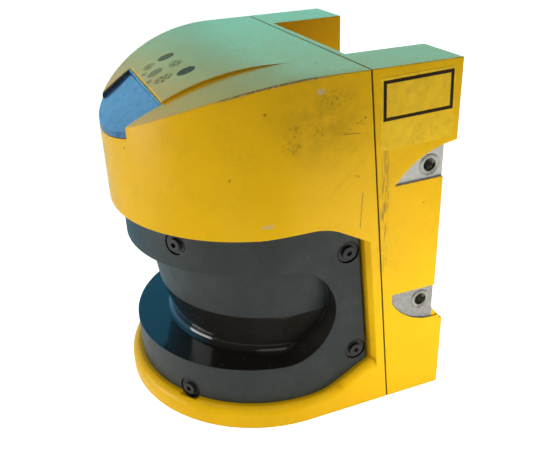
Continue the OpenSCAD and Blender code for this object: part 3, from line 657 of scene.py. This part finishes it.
# relief is in m, grain in waves per mm
finishes = {
    "gasketRubber": {"colour": (0.012, 0.012, 0.013, 1), "roughness": 0.75,
                     "grain": 3.0, "relief": 0.00008},
    "darkSteel": {"colour": (0.019, 0.020, 0.021, 1), "roughness": 0.46,
                  "grain": 2.2, "relief": 0.00005},
    "turnedSteel": {"colour": (0.62, 0.62, 0.54, 1), "roughness": 0.25, "metallic": 1.0,
                    "grain": 3.0, "relief": 0.00003},
    "tinPlate": {"colour": (0.62, 0.61, 0.57, 1), "roughness": 0.26, "metallic": 1.0,
                 "grain": 1.8, "relief": 0.00003},
    "goldPins": {"colour": (0.86, 0.62, 0.24, 1), "roughness": 0.22, "metallic": 1.0,
                 "grain": 4.0, "relief": 0.00002},
    "socketPlastic": {"colour": (0.018, 0.018, 0.020, 1), "roughness": 0.5,
                      "grain": 3.0, "relief": 0.00004},
    "circuitBoard": {"colour": (0.015, 0.10, 0.035, 1), "roughness": 0.35,
                     "grain": 1.0, "relief": 0.00004},
    "lampPlastic": {"colour": (0.60, 0.06, 0.04, 1), "roughness": 0.15,
                    "grain": 1.0, "relief": 0.00001},
    "lensGlass": {"colour": (0.80, 0.90, 0.95, 1), "roughness": 0.03,
                  "grain": 0.5, "relief": 0.00001, "glass": 1.0},
    "bareAluminium": {"colour": (0.60, 0.61, 0.62, 1), "roughness": 0.34, "metallic": 1.0,
                      "grain": 1.4, "relief": 0.00004},
    "blackMetal": {"colour": (0.022, 0.022, 0.024, 1), "roughness": 0.45, "metallic": 0.6,
                   "grain": 2.0, "relief": 0.00004},
    "laserBrass": {"colour": (0.66, 0.44, 0.16, 1), "roughness": 0.28, "metallic": 1.0,
                   "grain": 2.0, "relief": 0.00003},
    "mirrorCoat": {"colour": (0.92, 0.93, 0.94, 1), "roughness": 0.02, "metallic": 1.0,
                   "grain": 0.3, "relief": 0.000005},
    "sinteredIron": {"colour": (0.10, 0.095, 0.09, 1), "roughness": 0.55, "metallic": 0.7,
                     "grain": 3.0, "relief": 0.00006},
}


# what age does to every finish: factors for red, green and blue, and what is added
ageing = {
    "deep": ((0.78, 0.78, 0.80), (0, 0, 0)),
    "dusty": ((0.6, 0.6, 0.6), (0.05, 0.05, 0.045)),
    "rubbed": ((1.4, 1.4, 1.4), (0.06, 0.06, 0.06)),
}


def aged(colour, way):
    return (*(min(1, part * factor + more) for part, factor, more in zip(colour, *way)), 1)


def makeFinish(name, spec):
    material, tree, shader = newMaterial(name)
    place = placeInMm(tree)
    tone = noise(tree, place, 0.35, 4.0, 0.6)
    colour = blendColour(tree, ramp(tree, tone, 0.3, 0.7), spec["colour"],
                         aged(spec["colour"], ageing["deep"]))
    dust = useGroup(tree, grime, {"Place": place, "Scale": 0.25, "Amount": 0.25})["Mask"]
    colour = blendColour(tree, dust, colour, aged(spec["colour"], ageing["dusty"]))
    wear = useGroup(tree, edgeWear, {"Place": place, "Radius": 0.0003, "Amount": 0.5,
                                     "Grain": 0.8})["Mask"]
    colour = blendColour(tree, product(tree, wear, 0.6), colour,
                         aged(spec["colour"], ageing["rubbed"]))
    matt = calc(tree, "ADD", spec["roughness"],
                ramp(tree, noise(tree, place, 0.8, 4.0), 0.3, 0.7, -0.03, 0.08), clamp=True)
    rounded = add(tree, "Bevel", {"Radius": 0.00025}, samples=4).outputs[0]
    grain = useGroup(tree, coatRelief, {"Place": place, "Waves": spec["grain"],
                                        "Pits": spec["grain"] * 4, "Mix": 0.4})["Height"]
    feed(tree, shader.inputs["Base Color"], colour)
    feed(tree, shader.inputs["Roughness"], matt)
    feed(tree, shader.inputs["Normal"], bump(tree, grain, spec["relief"], 0.6, rounded))
    shader.inputs["Metallic"].default_value = spec.get("metallic", 0.0)
    if "glass" in spec:
        shader.inputs["Transmission Weight"].default_value = spec["glass"]
    return material


materials = {name: makeFinish(name, spec) for name, spec in finishes.items()}
materials["yellowPaint"] = makePaint(yellowPaint)
materials["screenPlastic"] = makeScreen(screenPlastic)
materials["windowPlastic"] = makeWindow(windowPlastic)
print("materials made:", len(materials))

painted = {
    "yellowPaint": ["front_housing", "rear_housing"],
    "gasketRubber": ["housing_gasket", "screen_gasket"],
    "screenPlastic": ["front_screen"],
    "windowPlastic": ["indicator_window"],
    "darkSteel": ["screen_screws", "screen_washers"],
    "turnedSteel": ["thread_inserts", "motor_shaft", "motor_bearings", "encoder_disc"],
    "tinPlate": ["housing_screws", "power_socket", "data_socket", "jack_posts", "board_pillars"],
    "circuitBoard": ["indicator_board", "main_board", "power_board", "receiver_board",
                     "sensor_boards"],
    "bareAluminium": ["optics_plate", "motor_housing", "motor_bracket"],
    "blackMetal": ["lens_holder", "lens_barrel", "mirror_holder"],
    "sinteredIron": ["motor_magnet", "stator"],
    "lensGlass": ["receiver_lens"],
    "laserBrass": ["laser_tube"],
    "mirrorCoat": ["scan_mirror"],
    "lampPlastic": ["status_lamps"],
    "socketPlastic": ["encoder_sensor"],
}
for finish, names in painted.items():
    for name in names:
        piece = nodes[name]
        if not piece.material_slots:
            piece.data.materials.append(None)
        for place in piece.material_slots:
            place.material = materials[finish]
print("nodes painted")


def finishPiece(shape, name, finish, smooth=True):
    mesh = bpy.data.meshes.new(name)
    shape.to_mesh(mesh)
    shape.free()
    for face in mesh.polygons:
        face.use_smooth = smooth
    mesh.materials.append(materials[finish])
    piece = bpy.data.objects.new(name, mesh)
    bpy.context.scene.collection.objects.link(piece)
    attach(piece, "housing")
    return piece


def lathe(shape, profile, centre, axis, out, steps=48):
    # turns a closed profile of (radius, height) pairs about an axis
    middle = Vector(centre)
    along, away = Vector(axis), Vector(out)
    points = [shape.verts.new(middle + away * r + along * h) for r, h in profile]
    edges = [shape.edges.new((points[i], points[i - 1])) for i in range(len(points))]
    bmesh.ops.spin(shape, geom=points + edges, cent=middle, axis=along, angle=math.tau,
                   steps=steps, use_merge=True)


def ofKind(parts, kind):
    return [part for part in parts if isinstance(part, kind)]


def mirrored(shape):
    # a copy on the other side, with its faces turned to point outwards again
    twin = bmesh.ops.duplicate(shape, geom=shape.verts[:] + shape.edges[:] + shape.faces[:])
    parts = twin["geom"]
    bmesh.ops.scale(shape, vec=(-1, 1, 1), verts=ofKind(parts, bmesh.types.BMVert))
    bmesh.ops.reverse_faces(shape, faces=ofKind(parts, bmesh.types.BMFace))


insertLow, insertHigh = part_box("thread_inserts")
insertRadius = (insertHigh.y - insertLow.y) / 2
insertY = (insertHigh.y + insertLow.y) / 2
insertHeights = (insertLow.z + insertRadius, insertHigh.z - insertRadius)
threads = {
    # in m
    "bore": 0.0034,
    "sunk": 0.00002,                # how deep the thread's root lies in the bore's wall
    "ridge": 0.00042,               # how far the thread stands into the bore
    "pitch": 0.00125,
    "fill": 0.96,                   # the profile's share of the pitch
    "lead": 0.0007,                 # from the insert's face to the first turn
    "turns": 8,
    "steps": 28,                    # for each turn
    # turned rings on the insert's face, as (radius, height)
    "rim": [(0.0034, -0.0009), (0.0039, 0.0001), (0.0044, 0.0001), (0.00446, 0.00002),
            (0.00462, 0.00002), (0.00468, 0.0001), (0.0053, 0.00006), (0.0053, -0.0002),
            (0.0040, -0.0009)],
}


def addThreads(spec):
    shape = bmesh.new()
    root = spec["bore"] + spec["sunk"]
    for height in insertHeights:
        start = Vector((insertHigh.x - spec["lead"], insertY, height))
        profile = []
        for radius, along in ((root, 0), (spec["bore"] - spec["ridge"], -0.5), (root, -1)):
            point = Vector((along * spec["pitch"] * spec["fill"], radius, 0))
            profile.append(shape.verts.new(start + point))
        edges = [shape.edges.new((profile[i], profile[i - 1])) for i in range(3)]
        step = spec["pitch"] / spec["steps"]
        bmesh.ops.spin(shape, geom=profile + edges, cent=start, axis=(1, 0, 0),
                       dvec=(-step, 0, 0), angle=math.tau * spec["turns"],
                       steps=spec["steps"] * spec["turns"])
    bmesh.ops.holes_fill(shape, edges=[e for e in shape.edges if e.is_boundary], sides=3)
    bmesh.ops.recalc_face_normals(shape, faces=shape.faces)
    mirrored(shape)
    finishPiece(shape, "thread_turns", "turnedSteel")
    shape = bmesh.new()
    for height in insertHeights:
        lathe(shape, spec["rim"], (insertHigh.x, insertY, height), (1, 0, 0), (0, 1, 0))
    bmesh.ops.recalc_face_normals(shape, faces=shape.faces)
    mirrored(shape)
    finishPiece(shape, "insert_rims", "turnedSteel")


addThreads(threads)

sockets = {
    # in mm
    "seamBase": 46.0, "seamTop": 30.5,      # the joint's place at the base and the top
    "wall": 3.7,                    # from the joint to the bay's wall
    "height": 132.0,
    "side": 22.0,
    "widths": {1: 39.0, -1: 25.0},
    "halfTall": 4.4, "slant": 1.6, "inset": 0.86,
    "floor": (1.45, 3.3),           # the insulator, from the bay's wall
    "corner": 0.9, "edge": 0.25,    # its rounded corners and upper edge
    "pinPitch": (2.76, 2.84), "pinRadius": 0.54, "pinTop": 5.26,
    "pinSunk": 0.4, "pinTip": 0.3,  # how deep a pin starts, and its rounded tip
    "pinEnds": 12,                  # of the width that holds no pins
}


def socketPlace(spec, side):
    tilt = math.atan((spec["seamBase"] - spec["seamTop"]) / bodyTop)
    seam = spec["seamBase"] + (spec["seamTop"] - spec["seamBase"]) * spec["height"] / bodyTop
    middle = Vector((side * spec["side"], seam + spec["wall"], spec["height"]))
    turn = Matrix.Rotation(tilt - math.pi / 2, 4, "X") @ Matrix.Rotation(math.pi / 2, 4, "Z")
    return Matrix.Translation(middle * mm) @ turn


def addInsulators(spec):
    whole = bmesh.new()
    low, high = spec["floor"]
    for side, width in spec["widths"].items():
        shape = bmesh.new()
        wide, tall = width / 2 - spec["inset"], spec["halfTall"] - spec["inset"]
        corners = [shape.verts.new(Vector((px, py, low)) * mm) for px, py in
                   ((-wide, tall), (-wide + spec["slant"], -tall), (wide - spec["slant"], -tall),
                    (wide, tall))]
        shape.faces.new(corners)
        bmesh.ops.bevel(shape, geom=corners, offset=spec["corner"] * mm, segments=4, profile=0.5,
                        affect="VERTICES", material=-1)
        raised = bmesh.ops.extrude_face_region(shape, geom=shape.faces[:])["geom"]
        top = ofKind(raised, bmesh.types.BMVert)
        bmesh.ops.translate(shape, vec=(0, 0, (high - low) * mm), verts=top)
        rim = [e for e in shape.edges if all(v in top for v in e.verts)]
        bmesh.ops.bevel(shape, geom=rim, offset=spec["edge"] * mm, segments=2, profile=0.5,
                        affect="EDGES", material=-1)
        bmesh.ops.transform(shape, matrix=socketPlace(spec, side), verts=shape.verts)
        bmesh.ops.recalc_face_normals(shape, faces=shape.faces)
        part = bpy.data.meshes.new("insulator")
        shape.to_mesh(part)
        shape.free()
        whole.from_mesh(part)
        bpy.data.meshes.remove(part)
    finishPiece(whole, "socket_insulators", "socketPlastic", smooth=False)


def addPins(spec):
    shape = bmesh.new()
    along, across = spec["pinPitch"]
    low, high = spec["floor"][1] - spec["pinSunk"], spec["pinTop"]
    for side, width in spec["widths"].items():
        place = socketPlace(spec, side)
        count = (width - spec["pinEnds"]) / along
        for row in (0, 1):
            for i in range(int(count - row) + 1):
                at = Vector(((i - (count - row) / 2) * along, row * across - across / 2,
                             (low + high) / 2)) * mm
                made = bmesh.ops.create_cone(shape, cap_ends=True, segments=16,
                                             radius1=spec["pinRadius"] * mm,
                                             radius2=spec["pinRadius"] * mm,
                                             depth=(high - low) * mm)["verts"]
                tip = [v for v in made if v.co.z > 0]
                rim = [e for e in shape.edges if e.verts[0] in tip and e.verts[1] in tip]
                done = bmesh.ops.bevel(shape, geom=rim, offset=spec["pinTip"] * mm, segments=3,
                                       profile=0.5, affect="EDGES", material=-1)["verts"]
                pin = [v for v in set(made) | set(done) if v.is_valid]
                bmesh.ops.transform(shape, matrix=place @ Matrix.Translation(at), verts=pin)
    bmesh.ops.recalc_face_normals(shape, faces=shape.faces)
    finishPiece(shape, "socket_pins", "goldPins")


addInsulators(sockets)
addPins(sockets)

label = {
    # in mm
    "middle": (55.2, 163.9),        # (Y, Z) on the +X cheek
    "size": (39.0, 34.5),
    "turn": 1.8,                    # degrees
    "thickness": 0.14,
    "corner": 1.2,
    "sunk": 0.02,                   # so that the film touches the cheek
    "frameMiddle": (0.2, 6.4),      # of the frame, from the label's middle
    "frameSize": (36.8, 19.0),
    "line": 1.7,
    "colour": (0.97, 0.62, 0.030, 1),
    "deepColour": (0.89, 0.56, 0.025, 1),
    "dirtColour": (0.25, 0.15, 0.04, 1),
    "lineColour": (0.016, 0.009, 0.003, 1),
    "wornLine": (0.11, 0.06, 0.02, 1),
    "specular": 0.12,
}


def makeLabelFinish(spec):
    material, tree, shader = newMaterial("labelFilm")
    place = placeInMm(tree)
    laid = add(tree, "Mapping", {"Vector": place, "Rotation": (math.radians(-spec["turn"]), 0, 0)})
    y, z = axes(tree, laid.outputs[0])[1:]
    turn = Matrix.Rotation(math.radians(-spec["turn"]), 2)
    middle = turn @ Vector(spec["middle"]) + Vector(spec["frameMiddle"])
    dy = calc(tree, "ABSOLUTE", calc(tree, "SUBTRACT", y, middle.x))
    dz = calc(tree, "ABSOLUTE", calc(tree, "SUBTRACT", z, middle.y))
    over = calc(tree, "MAXIMUM", calc(tree, "SUBTRACT", dy, spec["frameSize"][0] / 2),
                calc(tree, "SUBTRACT", dz, spec["frameSize"][1] / 2))
    ragged = calc(tree, "MULTIPLY", calc(tree, "SUBTRACT", noise(tree, place, 1.1, 3.0), 0.5), 0.25)
    over = calc(tree, "ADD", over, ragged)
    line = calc(tree, "MULTIPLY", ramp(tree, over, 0.08, -0.08),
                ramp(tree, over, -spec["line"] - 0.08, -spec["line"] + 0.08))
    tone = noise(tree, place, 0.12, 4.0, 0.6)
    film = blendColour(tree, ramp(tree, tone, 0.3, 0.7), spec["colour"], spec["deepColour"])
    dust = useGroup(tree, grime, {"Place": place, "Scale": 0.2, "Amount": 0.36})["Mask"]
    film = blendColour(tree, dust, film, spec["dirtColour"])
    pale = ramp(tree, noise(tree, place, 2.2, 3.0), 0.3, 0.8, 0.0, 0.3)
    ink = blendColour(tree, pale, spec["lineColour"], spec["wornLine"])
    colour = blendColour(tree, line, film, ink)
    fibres = useGroup(tree, coatRelief, {"Place": place, "Waves": 0.3, "Pits": 5.0,
                                         "Mix": 0.3})["Height"]
    feed(tree, shader.inputs["Base Color"], colour)
    feed(tree, shader.inputs["Roughness"], ramp(tree, tone, 0.3, 0.7, 0.36, 0.5))
    feed(tree, shader.inputs["Normal"], bump(tree, fibres, 0.00003, 0.5))
    shader.inputs["Specular IOR Level"].default_value = spec["specular"]
    return material


def addLabel(spec):
    shape = bmesh.new()
    bmesh.ops.create_grid(shape, x_segments=1, y_segments=1, size=0.5)
    bmesh.ops.scale(shape, vec=(spec["size"][0] * mm, spec["size"][1] * mm, 1), verts=shape.verts)
    bmesh.ops.bevel(shape, geom=shape.verts[:], offset=spec["corner"] * mm, segments=5, profile=0.5,
                    affect="VERTICES", material=-1)
    top = bmesh.ops.extrude_face_region(shape, geom=shape.faces[:])["geom"]
    bmesh.ops.translate(shape, vec=(0, 0, spec["thickness"] * mm),
                        verts=ofKind(top, bmesh.types.BMVert))
    stand = Matrix(((0, 0, 1), (1, 0, 0), (0, 1, 0))).to_4x4()
    turn = Matrix.Rotation(math.radians(spec["turn"]), 4, "X")
    y, z = spec["middle"]
    place = Matrix.Translation((cadHigh.x - spec["sunk"] * mm, y * mm, z * mm))
    bmesh.ops.transform(shape, matrix=place @ turn @ stand, verts=shape.verts)
    bmesh.ops.recalc_face_normals(shape, faces=shape.faces)
    materials["labelFilm"] = makeLabelFinish(spec)
    finishPiece(shape, "blank_label", "labelFilm", smooth=False)


addLabel(label)
print("threads, sockets and label added")


studio = {
    "floorHalf": 6.0,               # half the floor's width, in m
    "floorColour": (0.86, 0.86, 0.86, 1),
    "floorGlow": 0.87,              # what camera rays see on top of the lit floor
    "floorNear": (0.84, 0.84, 0.80, 1),     # the floor in reflections, on the right
    "floorFar": (0.24, 0.56, 0.76, 1),      # and on the left
    "skyNear": 0.40,                # light from near the horizon on the left
    "skyRight": 0.03,               # and on the right
    "skyHigh": 0.04,                # light from overhead
    "sheetColour": (0.05, 2.2, 2.15, 1),   # coloured sheet behind, seen only in reflections
    "sheetFront": (0.45, 1.25, 1.95, 1),   # its end towards the nose
    "sheetHigh": (0.12, 0.75, 1.25, 1),    # and its upper part
    # where each change of light starts and ends: along the view direction's axes, or in m
    "skySide": (0.35, -0.35), "skyRise": (0.05, 0.75),
    "sheetSide": (-0.10, -0.40), "sheetTop": (0.92, 0.70),
    "sheetNose": (-0.14, -0.02), "sheetRise": (0.34, 0.50),
    "floorOut": (0.5, 2.0), "floorSide": (0.05, -0.20),
}
lamps = [
    {"name": "front", "at": (-0.06, -0.60, 0.06), "aim": (0.02, 0.0, 0.07), "size": 0.30,
     "watts": 2.8},
    {"name": "side", "at": (0.235, 0.095, 0.03), "aim": (0.0, 0.095, 0.04), "size": 0.12,
     "watts": 0.335, "glint": False},
    {"name": "over", "at": (0.60, -0.10, 1.20), "aim": (0.0, 0.0, 0.09), "size": 0.6,
     "watts": 1.6},
    {"name": "low", "at": (0.22, -0.13, 0.012), "aim": (0.05, -0.03, 0.006), "size": 0.08,
     "watts": 0.13, "glint": False},
    {"name": "spark", "at": (0.02, -0.42, 0.95), "aim": (0.0, 0.0, 0.09), "size": 0.03,
     "watts": 0.5},
    {"name": "back", "at": (-0.45, 1.10, 0.35), "aim": (0.0, 0.0, 0.09), "size": 0.6,
     "watts": 6.0},
]


def addFloor(spec):
    shape = bmesh.new()
    bmesh.ops.create_grid(shape, x_segments=1, y_segments=1, size=spec["floorHalf"])
    mesh = bpy.data.meshes.new("floor")
    shape.to_mesh(mesh)
    shape.free()
    floor = bpy.data.objects.new("floor", mesh)
    bpy.context.scene.collection.objects.link(floor)
    material = bpy.data.materials.new("floor")
    material.use_nodes = True
    tree = material.node_tree
    tree.nodes.clear()
    place = add(tree, "TexCoord").outputs["Object"]
    away = lengthOf(tree, place)
    matt = add(tree, "BsdfDiffuse", {"Color": spec["floorColour"]})
    glow = add(tree, "Emission", {"Color": (1, 1, 1, 1),
                                  "Strength": ramp(tree, away, *spec["floorOut"],
                                                   spec["floorGlow"], 1.0)})
    both = add(tree, "AddShader", {0: matt.outputs[0], 1: glow.outputs[0]})
    rays = add(tree, "LightPath")
    seen = calc(tree, "MAXIMUM", rays.outputs["Is Camera Ray"], rays.outputs["Is Transmission Ray"])
    pick = add(tree, "MixShader", {0: seen, 1: matt.outputs[0], 2: both.outputs[0]})
    tint = blendColour(tree, ramp(tree, axes(tree, place)[0], *spec["floorSide"]),
                       spec["floorNear"], spec["floorFar"])
    mirror = add(tree, "Emission", {"Color": tint, "Strength": 1.0})
    pick = add(tree, "MixShader", {0: rays.outputs["Is Glossy Ray"], 1: pick.outputs[0],
                                   2: mirror.outputs[0]})
    add(tree, "OutputMaterial", {"Surface": pick.outputs[0]})
    mesh.materials.append(material)


def addWorld(spec):
    world = bpy.data.worlds.new("studio")
    bpy.context.scene.world = world
    world.use_nodes = True
    tree = world.node_tree
    tree.nodes.clear()
    way = add(tree, "TexCoord").outputs["Generated"]
    x, y, z = axes(tree, way)
    near = ramp(tree, x, *spec["skySide"], spec["skyRight"], spec["skyNear"])
    fall = ramp(tree, z, *spec["skyRise"], near, spec["skyHigh"])
    soft = add(tree, "CombineXYZ", {0: fall, 1: fall, 2: fall}).outputs[0]
    behind = product(tree, ramp(tree, x, *spec["sheetSide"]), ramp(tree, z, *spec["sheetTop"]))
    sheet = blendColour(tree, ramp(tree, y, *spec["sheetNose"]), spec["sheetFront"],
                        spec["sheetColour"])
    sheet = blendColour(tree, ramp(tree, z, *spec["sheetRise"]), sheet, spec["sheetHigh"])
    reflected = blendColour(tree, behind, soft, sheet)
    rays = add(tree, "LightPath")
    light = blendColour(tree, rays.outputs["Is Glossy Ray"], soft, reflected)
    seen = calc(tree, "MAXIMUM", rays.outputs["Is Camera Ray"], rays.outputs["Is Transmission Ray"])
    light = blendColour(tree, seen, light, (1, 1, 1, 1))
    background = add(tree, "Background", {"Color": light, "Strength": 1.0})
    add(tree, "OutputWorld", {"Surface": background.outputs[0]})


def addLamp(spec):
    data = bpy.data.lights.new(spec["name"] + "Lamp", "AREA")
    data.size = spec["size"]
    data.energy = spec["watts"]
    lamp = bpy.data.objects.new(data.name, data)
    at = Vector(spec["at"])
    lamp.location = at
    lamp.rotation_euler = (at - Vector(spec["aim"])).to_track_quat("Z", "Y").to_euler()
    lamp.visible_camera = False
    lamp.visible_glossy = spec.get("glint", True)   # a bounced light shows no lamp in mirrors
    bpy.context.scene.collection.objects.link(lamp)


addFloor(studio)
addWorld(studio)
for spec in lamps:
    addLamp(spec)
view = bpy.context.scene.view_settings
view.view_transform = "Standard"
print("studio set")
